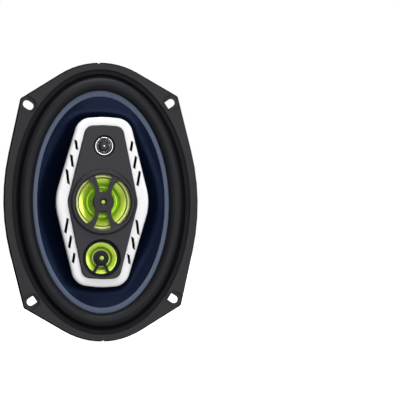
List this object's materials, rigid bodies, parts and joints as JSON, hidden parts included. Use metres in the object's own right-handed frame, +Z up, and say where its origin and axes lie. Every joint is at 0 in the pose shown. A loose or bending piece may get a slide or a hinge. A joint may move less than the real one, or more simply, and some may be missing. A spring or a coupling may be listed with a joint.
{
  "type": "coaxial car speaker",
  "caption": "Oval four-way coaxial car speaker: eared flange with slotted mounting holes, glossy cone in a rubber half-roll surround, and a bridge pod holding a midrange and two tweeters.",
  "frame": {"origin": "centre of the oval on the rear face of the mounting flange, which is the plane that meets the car's panel", "axes": "-Y out of the cone towards the listener, +Z up along the oval's long axis, +X to the right as the listener sees it; the magnet is on the +Y side"},
  "size_m": [0.165, 0.096, 0.2348],
  "materials": {
    "black_steel": "semi-gloss black paint on pressed steel",
    "gasket_plastic": "satin dark grey moulding",
    "rubber": "smooth satin butyl rubber",
    "navy_cone": "glossy navy polypropylene",
    "dust_felt": "black doped felt",
    "former_film": "amber film",
    "copper_wire": "enamelled copper winding",
    "spider_cloth": "resin-dipped yellow cloth",
    "zinc_steel": "zinc-plated steel",
    "rivet_steel": "bright steel",
    "ferrite": "dark grey ferrite",
    "fibre_board": "brown paper laminate",
    "brass_tab": "bright brass",
    "tinsel_braid": "braided copper tinsel",
    "black_plastic": "black ABS",
    "graphite_plastic": "satin graphite ABS",
    "hub_plastic": "satin near-black ABS",
    "white_gloss": "glossy white ABS",
    "green_gloss": "glossy lime green",
    "green_edge": "pearl lime green film edge",
    "green_cone": "pearl lime green film",
    "capacitor_sleeve": "blue shrink sleeve",
    "silver_film": "silvered film",
    "chrome": "bright chrome"
  },
  "bodies": {
    "frame": {"basket": "black_steel", "gasket_ring": "gasket_plastic", "surround": "rubber", "spider": "spider_cloth", "front_plate": "zinc_steel", "plate_rivets": "rivet_steel", "magnet": "ferrite", "yoke": "zinc_steel", "terminal_board": "fibre_board", "terminal_rivets": "rivet_steel", "terminal_positive": "brass_tab", "terminal_negative": "brass_tab", "tinsel_leads": "tinsel_braid", "tweeter_post": "zinc_steel", "post_nut": "rivet_steel", "pod_back": "black_plastic", "pod_front": "graphite_plastic", "pod_screws": "rivet_steel", "trim_plate": "white_gloss", "mid_grille": "graphite_plastic", "mid_tip": "green_gloss", "mid_surround": "green_edge", "mid_frame": "black_plastic", "mid_magnet": "ferrite", "mid_yoke": "zinc_steel", "mid_capacitor": "capacitor_sleeve", "tweeter_bridge": "hub_plastic", "tweeter_tip": "green_gloss", "tweeter_frame": "zinc_steel", "tweeter_magnet": "ferrite", "tweeter_capacitor": "capacitor_sleeve", "super_bridge": "hub_plastic", "super_tip": "chrome", "super_bowl": "chrome", "super_magnet": "ferrite"},
    "woofer": {"woofer_cone": "navy_cone", "dust_ring": "dust_felt", "coil_former": "former_film", "coil_winding": "copper_wire"},
    "midrange": {"mid_cone": "green_cone", "mid_cap": "green_cone", "mid_coil": "copper_wire"},
    "tweeter": {"tweeter_cone": "green_cone", "tweeter_dome": "silver_film"},
    "super_tweeter": {"super_dome": "silver_film"}
  },
  "joints": [
    {"name": "woofer_travel", "type": "slide", "parent": "frame", "child": "woofer", "axis": [0, -1, 0], "range_m": [-0.004, 0.004], "stiffness_N_per_m": 2000, "deforming": ["surround", "spider", "tinsel_leads"]},
    {"name": "midrange_travel", "type": "slide", "parent": "frame", "child": "midrange", "axis": [0, -1, 0], "range_m": [-0.001, 0.001], "stiffness_N_per_m": 600, "deforming": ["mid_surround"]},
    {"name": "tweeter_travel", "type": "slide", "parent": "frame", "child": "tweeter", "axis": [0, -1, 0], "range_m": [-0.0003, 0.0003], "stiffness_N_per_m": 800},
    {"name": "super_tweeter_travel", "type": "slide", "parent": "frame", "child": "super_tweeter", "axis": [0, -1, 0], "range_m": [-0.0002, 0.0002], "stiffness_N_per_m": 800}
  ]
}
